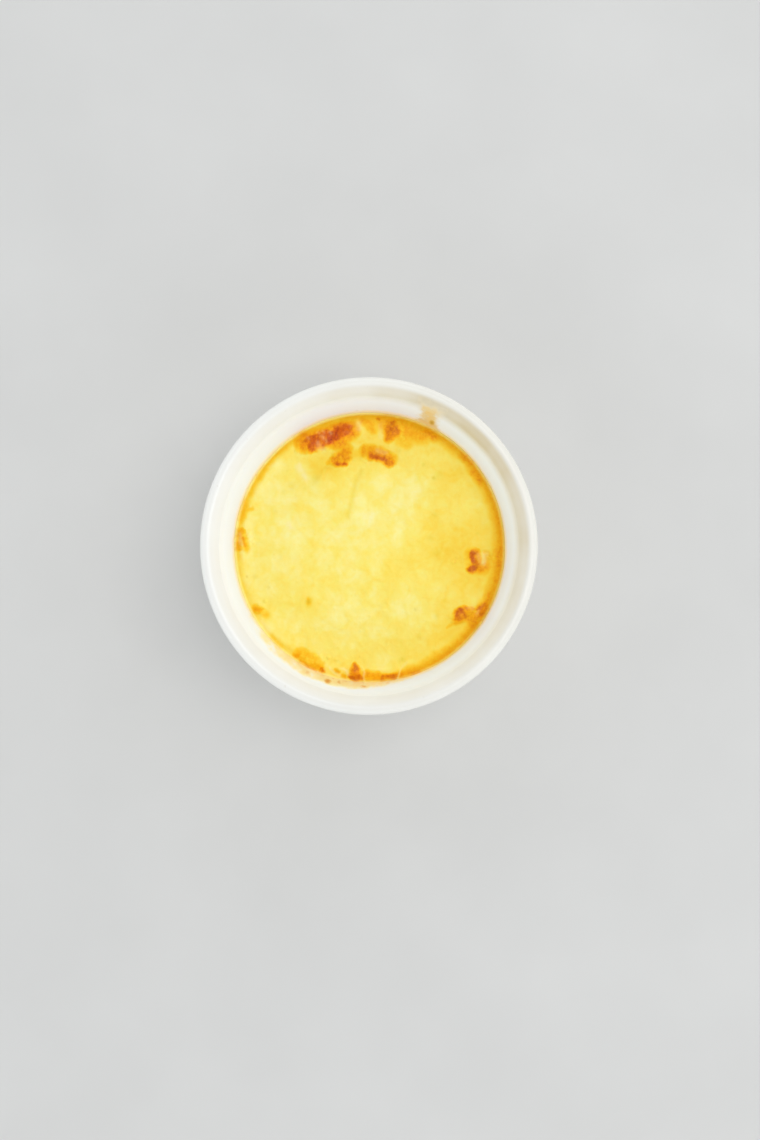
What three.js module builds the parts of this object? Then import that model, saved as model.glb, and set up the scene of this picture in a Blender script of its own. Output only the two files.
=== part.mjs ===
// A baked creme brulee in its own round porcelain ramekin, in millimetres, +Z up.
// The origin is the centre of the foot ring's flat underside. -Y is the side nearest the viewer.
// Two solids: the ramekin, and the set custard that fills it to a little over half its depth.
import * as THREE from "three";

// Driving dimensions of the ramekin
const HEIGHT = 50;
const LIP_RADIUS = 57;
const LIP_ROUND = 2.3;
const FLARE_ROUND = 8;
const FLARE_JOIN = 120;
const INNER_DRAFT = 10;
const OUTER_DRAFT = 8.5;
const WALL_TOP = 43.2;
const WALL_TOP_RADIUS = 54;
const BASE_CORNER = 4.6;
const BASE_CORNER_HEIGHT = 5;
const FOOT_OUTER = 42.6;
const FOOT_INNER = 37.2;
const FOOT_RECESS = 1.6;
const FLOOR = 6;
const FLOOR_CORNER = 6;
const RAMEKIN_SEGMENTS = 72;

// Driving dimensions of the custard
const LEVEL = 30;
const CLEARANCE = 0.3;
const SHOULDER_WIDTH = 3.4;
const SHOULDER_DROP = 0.9;
const CUSTARD_SEGMENTS = 96;
const SKIN_RINGS = 29;

const degrees = (a) => (a * Math.PI) / 180;

// Centre of the lip's tight round, and of the wide round that carries it over into the inner wall.
const LIP_CENTRE = { radius: LIP_RADIUS - LIP_ROUND, height: HEIGHT - LIP_ROUND };
const FLARE_CENTRE = {
  radius: LIP_CENTRE.radius - (FLARE_ROUND - LIP_ROUND) * Math.cos(degrees(FLARE_JOIN)),
  height: LIP_CENTRE.height - (FLARE_ROUND - LIP_ROUND) * Math.sin(degrees(FLARE_JOIN)),
};

// The inner wall is a straight draft that ends where the flare begins.
function innerRadius(height) {
  const topRadius = FLARE_CENTRE.radius - FLARE_ROUND * Math.cos(degrees(INNER_DRAFT));
  const topHeight = FLARE_CENTRE.height + FLARE_ROUND * Math.sin(degrees(INNER_DRAFT));
  return topRadius + (height - topHeight) * Math.tan(degrees(INNER_DRAFT));
}

const outerRadius = (height) => WALL_TOP_RADIUS + (height - WALL_TOP) * Math.tan(degrees(OUTER_DRAFT));

// The round between the inner wall and the floor.
const cornerEnd = FLOOR + FLOOR_CORNER * (1 - Math.sin(degrees(INNER_DRAFT)));
const CORNER_CENTRE = {
  radius: innerRadius(cornerEnd) - FLOOR_CORNER * Math.cos(degrees(INNER_DRAFT)),
  height: FLOOR + FLOOR_CORNER,
};

// Points along an arc in the (radius, height) plane, from one angle to another, both included.
function arc(centre, round, from, to, steps) {
  const points = [];
  for (let i = 0; i <= steps; i++) {
    const a = degrees(from + ((to - from) * i) / steps);
    points.push([centre.radius + round * Math.cos(a), centre.height + round * Math.sin(a)]);
  }
  return points;
}

// Half of the ramekin's section: out under the base, up the outside, over the lip and down the inside.
function ramekinSection() {
  const baseCorner = {
    radius: outerRadius(BASE_CORNER_HEIGHT) - BASE_CORNER,
    height: BASE_CORNER_HEIGHT,
  };
  return [
    [0, FOOT_RECESS],
    [FOOT_INNER - 1.8, FOOT_RECESS],
    [FOOT_INNER - 0.6, 0.5],
    [FOOT_INNER, 0],
    [FOOT_OUTER, 0],
    ...arc(baseCorner, BASE_CORNER, -78, -OUTER_DRAFT, 5),
    [WALL_TOP_RADIUS, WALL_TOP],
    [WALL_TOP_RADIUS + 0.15, WALL_TOP + 1.1],
    [WALL_TOP_RADIUS + 0.75, WALL_TOP + 2],
    ...arc(LIP_CENTRE, LIP_ROUND, -54, 108, 9),
    ...arc(FLARE_CENTRE, FLARE_ROUND, FLARE_JOIN, 180 - INNER_DRAFT, 5),
    ...arc(CORNER_CENTRE, FLOOR_CORNER, -INNER_DRAFT, -90, 4),
    [0, FLOOR],
  ];
}

// Blisters and browned lumps in the baked skin: centre, half length, half width, turn in degrees, height.
const BLISTERS = [
  { name: "upper left, dark end", x: -20.6, y: 35.6, long: 3.4, wide: 2.6, turn: 35, high: 0.9 },
  { name: "upper left, bubbly middle", x: -15.6, y: 38.4, long: 3.0, wide: 2.4, turn: 30, high: 0.7 },
  { name: "upper left, far end", x: -9.4, y: 40.4, long: 3.8, wide: 2.6, turn: 20, high: 1.0 },
  { name: "under the long patch", x: -9.3, y: 30.2, long: 3.4, wide: 2.2, turn: 30, high: 0.6 },
  { name: "top centre bar", x: 3.2, y: 31.2, long: 5.6, wide: 2.0, turn: -27, high: 0.9 },
  { name: "top right lump", x: 8.6, y: 41.2, long: 3.2, wide: 2.4, turn: 60, high: 0.8 },
  { name: "left edge ring", x: -43.4, y: 2.1, long: 4.4, wide: 1.9, turn: 88, high: 0.6 },
  { name: "lower left spot", x: -38.2, y: -21.4, long: 2.8, wide: 2.3, turn: 0, high: 0.5 },
  { name: "bottom left band", x: -21.0, y: -39.6, long: 5.6, wide: 2.0, turn: -34, high: 0.5 },
  { name: "bottom knot", x: -5.3, y: -43.2, long: 2.6, wide: 1.8, turn: 90, high: 0.8 },
  { name: "right, dark bar", x: 35.4, y: -4.5, long: 4.4, wide: 1.7, turn: 82, high: 0.7 },
  { name: "right, pale bubble", x: 39.0, y: -3.8, long: 2.8, wide: 2.0, turn: 80, high: 1.1 },
  { name: "lower right, dark wedge", x: 31.3, y: -24.0, long: 2.8, wide: 2.0, turn: 60, high: 0.8 },
  { name: "lower right, pale bubble", x: 35.0, y: -22.0, long: 2.2, wide: 1.7, turn: 10, high: 0.9 },
  { name: "lower right, edge lump", x: 38.0, y: -23.8, long: 3.6, wide: 1.9, turn: 60, high: 0.6 },
];

// The smooth middle of the skin is a low round lobe whose upper edge stands up as a step.
const LOBE = { x: -4.8, y: 13, radius: 17.7, step: 0.55, edge: 1.6, from: 35, to: 165, fade: 25 };

// A shallow crease runs down the skin from the lobe's upper edge.
const CREASE = { depth: 0.45, width: 1.2 };
const CREASE_LINE = [
  [-3.2, 28.4],
  [-4.2, 24.4],
  [-5.3, 20.9],
  [-7.0, 14.6],
  [-9.1, 9.1],
];

// Broad swells of the skin: wave length, direction and height of each.
const SWELLS = [
  { length: 41, turn: 25, high: 0.22, phase: 0.4 },
  { length: 29, turn: 118, high: 0.16, phase: 2.1 },
  { length: 17, turn: 70, high: 0.08, phase: 4.4 },
];

const smooth = (t) => {
  const c = Math.min(1, Math.max(0, t));
  return c * c * (3 - 2 * c);
};

function blisterHeight(x, y) {
  let height = 0;
  for (const b of BLISTERS) {
    const c = Math.cos(degrees(b.turn));
    const s = Math.sin(degrees(b.turn));
    const u = ((x - b.x) * c + (y - b.y) * s) / b.long;
    const v = ((y - b.y) * c - (x - b.x) * s) / b.wide;
    height = Math.max(height, b.high * Math.exp(-(u * u + v * v)));
  }
  return height;
}

function lobeHeight(x, y) {
  const away = Math.hypot(x - LOBE.x, y - LOBE.y);
  const angle = (Math.atan2(y - LOBE.y, x - LOBE.x) * 180) / Math.PI;
  const share = smooth((angle - LOBE.from) / LOBE.fade) * smooth((LOBE.to - angle) / LOBE.fade);
  return LOBE.step * share * smooth((LOBE.radius - away) / LOBE.edge + 0.5) * smooth(away / LOBE.radius);
}

function creaseDepth(x, y) {
  let nearest = Infinity;
  for (let i = 1; i < CREASE_LINE.length; i++) {
    const [ax, ay] = CREASE_LINE[i - 1];
    const [bx, by] = CREASE_LINE[i];
    const along = ((x - ax) * (bx - ax) + (y - ay) * (by - ay)) / ((bx - ax) ** 2 + (by - ay) ** 2);
    const t = Math.min(1, Math.max(0, along));
    nearest = Math.min(nearest, Math.hypot(x - ax - t * (bx - ax), y - ay - t * (by - ay)));
  }
  return CREASE.depth * Math.exp(-((nearest / CREASE.width) ** 2));
}

function swellHeight(x, y) {
  return SWELLS.reduce((sum, w) => {
    const along = x * Math.cos(degrees(w.turn)) + y * Math.sin(degrees(w.turn));
    return sum + w.high * Math.sin((2 * Math.PI * along) / w.length + w.phase);
  }, 0);
}

// Height of the baked skin at a point. Its edge rounds down where it has shrunk from the wall.
function skinHeight(x, y) {
  const fromWall = innerRadius(LEVEL) - Math.hypot(x, y);
  const shoulder = SHOULDER_DROP * (1 - smooth(fromWall / SHOULDER_WIDTH));
  return LEVEL - shoulder + swellHeight(x, y) + lobeHeight(x, y) + blisterHeight(x, y) - creaseDepth(x, y);
}

// A closed surface from a bottom point, rings that are each a function of the angle, and a top point.
function ringSolid(bottomPoint, rings, topPoint, segments) {
  const position = [...bottomPoint];
  for (const ring of rings) {
    for (let i = 0; i < segments; i++) {
      position.push(...ring((2 * Math.PI * i) / segments));
    }
  }
  position.push(...topPoint);
  const index = [];
  const at = (ring, i) => 1 + ring * segments + (i % segments);
  const last = 1 + rings.length * segments;
  for (let i = 0; i < segments; i++) {
    index.push(0, at(0, i + 1), at(0, i));
    for (let k = 1; k < rings.length; k++) {
      index.push(at(k - 1, i), at(k - 1, i + 1), at(k, i + 1));
      index.push(at(k - 1, i), at(k, i + 1), at(k, i));
    }
    index.push(at(rings.length - 1, i), at(rings.length - 1, i + 1), last);
  }
  const geometry = new THREE.BufferGeometry();
  geometry.setAttribute("position", new THREE.Float32BufferAttribute(position, 3));
  geometry.setIndex(index);
  geometry.computeVertexNormals();
  return geometry;
}

// A level circle of the given radius.
const circle = (radius, height) => (a) => [radius * Math.cos(a), radius * Math.sin(a), height];

// The line where the skin meets the side.
function skinEdge(a) {
  const x = Math.cos(a) * innerRadius(LEVEL);
  const y = Math.sin(a) * innerRadius(LEVEL);
  const height = skinHeight(x, y);
  const radius = innerRadius(height) - CLEARANCE;
  return [radius * Math.cos(a), radius * Math.sin(a), height];
}

// The custard: the floor's shape below, the wall's shape at the side, and the baked skin on top.
function custardGeometry() {
  const corner = arc(CORNER_CENTRE, FLOOR_CORNER - CLEARANCE, -90, -INNER_DRAFT, 3);
  const rings = corner.map(([radius, height]) => circle(radius, height));
  rings.push(skinEdge);
  const edge = innerRadius(LEVEL) - CLEARANCE;
  for (let k = 1; k < SKIN_RINGS; k++) {
    const radius = edge * (1 - k / SKIN_RINGS) ** 0.86;
    rings.push((a) => {
      const x = radius * Math.cos(a);
      const y = radius * Math.sin(a);
      return [x, y, skinHeight(x, y)];
    });
  }
  return ringSolid([0, 0, FLOOR + CLEARANCE], rings, [0, 0, skinHeight(0, 0)], CUSTARD_SEGMENTS);
}

function ramekinGeometry() {
  const section = ramekinSection().map(([radius, height]) => new THREE.Vector2(radius, height));
  return new THREE.LatheGeometry(section, RAMEKIN_SEGMENTS);
}

const porcelain = new THREE.MeshStandardMaterial({ color: 0xf6f5ee, roughness: 0.15, metalness: 0 });
const bakedCustard = new THREE.MeshStandardMaterial({ color: 0xfbe06e, roughness: 0.4, metalness: 0 });

const ramekin = new THREE.Mesh(ramekinGeometry(), porcelain);
ramekin.name = "ramekin";
ramekin.rotation.x = Math.PI / 2;

const custard = new THREE.Mesh(custardGeometry(), bakedCustard);
custard.name = "custard";

const cremeBrulee = new THREE.Group();
cremeBrulee.add(ramekin, custard);

export default cremeBrulee;
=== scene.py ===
import math

import bpy
import numpy as np
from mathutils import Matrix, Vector


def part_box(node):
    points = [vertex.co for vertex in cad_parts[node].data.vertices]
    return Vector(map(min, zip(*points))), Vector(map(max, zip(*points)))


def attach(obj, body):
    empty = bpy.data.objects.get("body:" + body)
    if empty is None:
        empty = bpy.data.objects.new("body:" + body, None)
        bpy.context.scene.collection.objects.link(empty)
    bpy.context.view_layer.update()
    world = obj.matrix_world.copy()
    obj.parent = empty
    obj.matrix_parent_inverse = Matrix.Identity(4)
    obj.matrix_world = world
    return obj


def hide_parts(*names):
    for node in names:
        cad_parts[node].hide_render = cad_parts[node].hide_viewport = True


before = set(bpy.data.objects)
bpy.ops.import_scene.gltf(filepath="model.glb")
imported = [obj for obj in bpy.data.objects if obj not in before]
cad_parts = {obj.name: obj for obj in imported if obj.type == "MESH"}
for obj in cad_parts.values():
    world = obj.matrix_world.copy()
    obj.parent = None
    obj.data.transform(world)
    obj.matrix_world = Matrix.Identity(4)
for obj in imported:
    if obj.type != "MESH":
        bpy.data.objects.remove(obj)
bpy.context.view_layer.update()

# A baked creme brulee in its white porcelain ramekin. Shapes are worked out in millimetres, with the
# origin under the middle of the foot ring, and become metres when a mesh is made.
MM = 0.001

# Sizes that the frame gives
LIP_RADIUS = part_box("ramekin")[1].x / MM
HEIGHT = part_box("ramekin")[1].z / MM

# The ramekin's own form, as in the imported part
LIP_ROUND = 2.3
FLARE_ROUND = 8.0
FLARE_JOIN = 120.0
INNER_DRAFT = 10.0
OUTER_DRAFT = 8.5
WALL_TOP = 43.2
WALL_TOP_RADIUS = 54.0
BASE_CORNER = 4.6
BASE_CORNER_HEIGHT = 5.0
FOOT_OUTER = 42.6
FOOT_INNER = 37.2
FOOT_RECESS = 1.6
FLOOR = 6.0
FLOOR_CORNER = 6.0
RAMEKIN_SEGMENTS = 288

# Points of its section, out and up: from the foot ring's inner and outer radius, and from the wall's top
FOOT_HOLLOW_SIDE = [
    (-2.4, FOOT_RECESS), (-1.5, 1.48), (-0.9, 1.1), (-0.45, 0.45), (-0.15, 0.125), (0.5, 0.0),
]
FOOT_OUTSIDE = [(-0.5, 0.0), (0.35, 0.1), (1.0, 0.375)]
LIP_FOOT = [(0.02, 0.4), (0.08, 0.8), (0.24, 1.2), (0.5, 1.6), (0.9, 1.95)]
INNER_RINGS = (0.0, 12.0, 24.0)

# The custard's own form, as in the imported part
LEVEL = 30.0
SHOULDER_WIDTH = 3.4
SHOULDER_DROP = 0.9
MENISCUS_RISE, MENISCUS_WIDTH = 0.9, 1.2
INTO_WALL = 0.05
SKIN_CELLS = 280
SIDE_RINGS, SIDE_SPACING, BOTTOM_RING = 4, 1.6, 15.0

# The photograph's frame, and where the lip and the point straight below the lens fall in it
PHOTO_WIDTH, PHOTO_HEIGHT = 760, 1140
LENS, SENSOR = 50.0, 36.0
FOCAL_PX = LENS / SENSOR * PHOTO_HEIGHT
LIP_CENTRE_PX = (368.9, 545.7)
LIP_RADIUS_PX = 169.0
NADIR_PX = (388.0, 600.0)


# Helpers for numbers

def smooth(t):
    """A soft step from 0 to 1 as t goes from 0 to 1."""
    c = np.clip(t, 0.0, 1.0)
    return c * c * (3 - 2 * c)


def perlin(x, y, cell, seed):
    """Smooth noise, about -1 to 1, at points of a plane, with lumps about one cell across."""
    lattice = 128
    turns = np.random.default_rng(seed).uniform(0, 2 * np.pi, (lattice, lattice))
    slope_u, slope_v = np.cos(turns), np.sin(turns)
    u, v = x / cell + 40.0, y / cell + 40.0
    iu, iv = np.floor(u).astype(int), np.floor(v).astype(int)
    fu, fv = u - iu, v - iv
    su, sv = smooth(fu), smooth(fv)

    def corner(du, dv):
        i, j = (iu + du) % lattice, (iv + dv) % lattice
        return slope_u[i, j] * (fu - du) + slope_v[i, j] * (fv - dv)

    low = corner(0, 0) * (1 - su) + corner(1, 0) * su
    high = corner(0, 1) * (1 - su) + corner(1, 1) * su
    return 1.5 * (low * (1 - sv) + high * sv)


def fractal(x, y, cell, seed, octaves=3, fall=0.5):
    """Perlin noise with finer and weaker layers added."""
    total = np.zeros_like(x)
    for k in range(octaves):
        total += fall**k * perlin(x, y, cell / 2**k, seed + 17 * k)
    return total


def ridged(x, y, cell, seed):
    """Noise from 0 to 1 that is highest along thin winding lines."""
    return 1 - np.clip(2.2 * np.abs(perlin(x, y, cell, seed)), 0, 1)


def distance_to_path(x, y, path):
    """Distance from points to a line of straight runs."""
    if len(path) == 1:
        return np.hypot(x - path[0][0], y - path[0][1])
    nearest = np.full(x.shape, 1e9)
    for (ax, ay), (bx, by) in zip(path, path[1:]):
        along = ((x - ax) * (bx - ax) + (y - ay) * (by - ay)) / ((bx - ax) ** 2 + (by - ay) ** 2)
        t = np.clip(along, 0, 1)
        nearest = np.minimum(nearest, np.hypot(x - ax - t * (bx - ax), y - ay - t * (by - ay)))
    return nearest


def drawn(x, y, rows):
    """The strongest at each point of some soft lines or dots: rows of half width, strength and path."""
    field = np.zeros_like(x)
    for half_width, strength, *path in rows:
        field = np.maximum(field, strength * np.exp(-((distance_to_path(x, y, path) / half_width) ** 2)))
    return field


def warped(x, y, amount, cell, seed):
    """The points pushed about by noise, so that what is drawn at them gets a ragged outline."""
    return x + amount * perlin(x, y, cell, seed), y + amount * perlin(x, y, cell, seed + 1)


def angle_of(x, y):
    return np.degrees(np.arctan2(y, x))


def around(angle, table):
    """A value that changes with the angle, from pairs of angle and value that close on themselves."""
    angles, values = zip(*table)
    return np.interp(np.mod(angle, 360), [*angles, angles[0] + 360], [*values, values[0]], period=360)


def by_angle(angle, table):
    """A value read from (angle, value) pairs, the same beyond the last ones."""
    return np.interp(angle, *zip(*table))


def step(value, low, high):
    """A soft step from 0 at low to 1 at high."""
    return smooth((value - low) / (high - low))


# Helpers for meshes

def add_object(name, data):
    """An object with its data, put into the scene."""
    added = bpy.data.objects.new(name, data)
    bpy.context.scene.collection.objects.link(added)
    return added


def make_object(name, points, faces, smooth_faces=None):
    """A mesh object from points in millimetres, smooth-shaded in all its faces or in the first ones."""
    mesh = bpy.data.meshes.new(name)
    mesh.from_pydata((np.asarray(points) * MM).tolist(), [], faces)
    mesh.validate()
    shaded = len(mesh.polygons) if smooth_faces is None else smooth_faces
    mesh.polygons.foreach_set("use_smooth", [k < shaded for k in range(len(mesh.polygons))])
    mesh.update()
    return add_object(name, mesh)


def set_fields(piece, fields):
    """Stores numbers at the points, one set under each name, for the piece's material to read."""
    for name, values in fields.items():
        field = piece.data.attributes.new(name, "FLOAT", "POINT")
        field.data.foreach_set("value", np.asarray(values, dtype=np.float32))


def arc(centre, radius, start, end, steps):
    """Points of an arc in the (radius, height) plane."""
    turns = np.radians(np.linspace(start, end, steps + 1))
    return [(centre[0] + radius * math.cos(a), centre[1] + radius * math.sin(a)) for a in turns]


def run(a, b, steps):
    """Points of a straight run, its ends left out."""
    return [(a[0] + (b[0] - a[0]) * k / steps, a[1] + (b[1] - a[1]) * k / steps) for k in range(1, steps)]


# The ramekin's section

LIP_CENTRE = (LIP_RADIUS - LIP_ROUND, HEIGHT - LIP_ROUND)
FLARE_CENTRE = (
    LIP_CENTRE[0] - (FLARE_ROUND - LIP_ROUND) * math.cos(math.radians(FLARE_JOIN)),
    LIP_CENTRE[1] - (FLARE_ROUND - LIP_ROUND) * math.sin(math.radians(FLARE_JOIN)),
)
DRAFT = math.radians(INNER_DRAFT)
INNER_TOP = (
    FLARE_CENTRE[0] - FLARE_ROUND * math.cos(DRAFT),
    FLARE_CENTRE[1] + FLARE_ROUND * math.sin(DRAFT),
)


def inner_radius(height):
    """The straight part of the inner wall."""
    return INNER_TOP[0] + (height - INNER_TOP[1]) * math.tan(DRAFT)


def outer_radius(height):
    """The outer wall."""
    return WALL_TOP_RADIUS + (height - WALL_TOP) * math.tan(math.radians(OUTER_DRAFT))


CORNER_END = FLOOR + FLOOR_CORNER * (1 - math.sin(DRAFT))
CORNER_CENTRE = (inner_radius(CORNER_END) - FLOOR_CORNER * math.cos(DRAFT), FLOOR + FLOOR_CORNER)


def ramekin_section():
    """Half of the section: out under the base, up the outside, over the lip and down the inside."""
    base_centre = (outer_radius(BASE_CORNER_HEIGHT) - BASE_CORNER, BASE_CORNER_HEIGHT)
    base = arc(base_centre, BASE_CORNER, -72, -OUTER_DRAFT, 12)
    wall_top = (WALL_TOP_RADIUS, WALL_TOP)
    lip = arc(LIP_CENTRE, LIP_ROUND, -60, FLARE_JOIN, 26)
    flare = arc(FLARE_CENTRE, FLARE_ROUND, FLARE_JOIN, 180 - INNER_DRAFT, 12)[1:]
    corner = arc(CORNER_CENTRE, FLOOR_CORNER, -INNER_DRAFT, -90, 10)
    above, below = ((inner_radius(height), height) for height in (LEVEL + 4, LEVEL - 2))
    return [
        *((radius, FOOT_RECESS) for radius in INNER_RINGS),
        *((FOOT_INNER + out, up) for out, up in FOOT_HOLLOW_SIDE),
        *((FOOT_OUTER + out, up) for out, up in FOOT_OUTSIDE),
        *base, *run(base[-1], wall_top, 16), wall_top,
        *((WALL_TOP_RADIUS + out, WALL_TOP + up) for out, up in LIP_FOOT), *lip, *flare,
        *run(flare[-1], above, 6), above, *run(above, below, 14), below, *run(below, corner[0], 8), *corner,
        *((radius, FLOOR) for radius in reversed(INNER_RINGS)),
    ]


def lathe(name, section, segments):
    """A closed solid of revolution whose section starts and ends on the axis."""
    turns = 2 * np.pi * np.arange(segments) / segments
    points = [(0.0, 0.0, section[0][1])]
    for radius, height in section[1:-1]:
        ring = (radius * np.cos(turns), radius * np.sin(turns), np.full(segments, height))
        points.extend(np.column_stack(ring))
    points.append((0.0, 0.0, section[-1][1]))
    rows, last = len(section) - 2, len(points) - 1

    def at(row, i):
        return 1 + row * segments + i % segments

    faces = [(0, at(0, i + 1), at(0, i)) for i in range(segments)]
    for row in range(rows - 1):
        faces += [(at(row, i), at(row, i + 1), at(row + 1, i + 1), at(row + 1, i)) for i in range(segments)]
    faces += [(at(rows - 1, i), at(rows - 1, i + 1), last) for i in range(segments)]
    return make_object(name, points, faces)


# Length of one degree along the inner wall
MM_PER_DEGREE = 0.83

# How strongly the warm band of painted shade and reflection shows inside the lip, round the ramekin. The
# radii over which it comes in and goes, the heights over which it comes in, and its share out on the lip,
# where it is painted shade on the crown.
LIP_SHADE_AND_REFLECTION = [
    (0, 0.62), (20, 0.78), (50, 1.1), (75, 0.70), (90, 0.48), (120, 0.26), (150, 0.18), (180, 0.20),
    (225, 0.28), (270, 0.24), (315, 0.36),
]
LIP_SHADE_FROM, LIP_SHADE_TO, LIP_SHADE_RISE = (49.2, 51.4), (53.0, 54.4), (42, 44)
LIP_SHADE_ON_CROWN = 0.16

# Heights over which the painted cool light on the inner wall and the tide mark above the custard, which is
# partly painted light, fade out
PAINTED_COOL_LIGHT_FADE = (43.0, 49.5)
TIDE_AND_LIGHT_FADE = (29.8, 33.9)


def glaze_marks(x, y, z):
    """What marks the glaze at points by it: the painted shade and reflection inside the lip, the painted
    cool light inside and the tide mark, partly painted light.
    """
    radius, angle = np.hypot(x, y), angle_of(x, y)
    ends = 1 - (1 - LIP_SHADE_ON_CROWN) * step(radius, *LIP_SHADE_TO)
    cloud = 1 + 0.2 * fractal(angle * 0.9, z, 9, 61)
    stain = step(radius, *LIP_SHADE_FROM) * ends * step(z, *LIP_SHADE_RISE) * around(angle, LIP_SHADE_AND_REFLECTION) * cloud
    inside = smooth((inner_radius(z) + 1.6 - radius) / 0.8) * smooth((z - FLOOR + 0.5) / 0.5)
    ragged = 0.5 * fractal(angle * MM_PER_DEGREE, np.zeros_like(z), 5, 62)
    # The lower inner wall gets painted cool light: its colour is made cooler to offset the warm light that
    # the custard throws on it.
    cool = inside * (1 - step(z, *PAINTED_COOL_LIGHT_FADE))
    # The tide mark is partly real dried custard and partly painted light that lifts the shade in the corner
    # above the custard.
    tide = inside * (1 - step(z - ragged, *TIDE_AND_LIGHT_FADE))
    return {"stain": np.clip(stain, 0, 1), "cool": cool, "tide": tide}


def make_ramekin():
    """The porcelain cup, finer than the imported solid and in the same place."""
    cup = lathe("ramekin_glazed", ramekin_section(), RAMEKIN_SEGMENTS)
    co = np.empty(len(cup.data.vertices) * 3)
    cup.data.vertices.foreach_get("co", co)
    x, y, z = co.reshape(-1, 3).T / MM
    bare = smooth((0.35 - z) / 0.25) * smooth((np.hypot(x, y) - FOOT_INNER + 1) / 0.8)
    set_fields(cup, {**glaze_marks(x, y, z), "bare": bare})
    return cup


# The baked skin

# Blisters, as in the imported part: centre, half length, half width, turn in degrees, height
BLISTERS = [
    # The long patch at the upper left
    (-20.6, 35.6, 3.4, 2.6, 35, 0.9), (-15.6, 38.4, 3, 2.4, 30, 0.7), (-9.4, 40.4, 3.8, 2.6, 20, 1),
    # The spot under it, the bar at the top centre and the lump at the top right
    (-9.3, 30.2, 3.4, 2.2, 30, 0.6), (3.2, 31.2, 5.6, 2, -27, 0.9), (8.6, 41.2, 3.2, 2.4, 60, 0.8),
    # The left ring, the lower left spot, the band at the bottom left and the knot at the bottom
    (-43.4, 2.1, 4.4, 1.9, 88, 0.6), (-38.2, -21.4, 2.8, 2.3, 0, 0.5), (-21, -39.6, 5.6, 2, -34, 0.5),
    (-5.3, -43.2, 2.6, 1.8, 90, 0.8),
    # The bar and the pale bubble at the right
    (35.4, -4.5, 4.4, 1.7, 82, 0.7), (39, -3.8, 2.8, 2, 80, 1.1),
    # The wedge, the pale bubble and the lump at the lower right
    (31.3, -24, 2.8, 2, 60, 0.8), (35, -22, 2.2, 1.7, 10, 0.9), (38, -23.8, 3.6, 1.9, 60, 0.6),
]

# The smooth middle of the skin ends above in a low step: centre, radius, step, edge, angles, fade
LOBE_CENTRE, LOBE_RADIUS, LOBE_STEP, LOBE_EDGE = (-4.8, 13.0), 17.7, 0.42, 2.2
LOBE_FROM, LOBE_TO, LOBE_FADE = 35, 165, 25

CREASE_DEPTH, CREASE_WIDTH = 0.16, 0.9
CREASE_LINE = [(-2.9, 26.6), (-4.6, 23.6), (-5.8, 19.4), (-6.8, 15.2), (-7.6, 10.5)]

# Broad swells: wave length, direction, height, phase
SWELLS = [(41, 25, 0.22, 0.4), (29, 118, 0.16, 2.1), (17, 70, 0.08, 4.4)]

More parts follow.
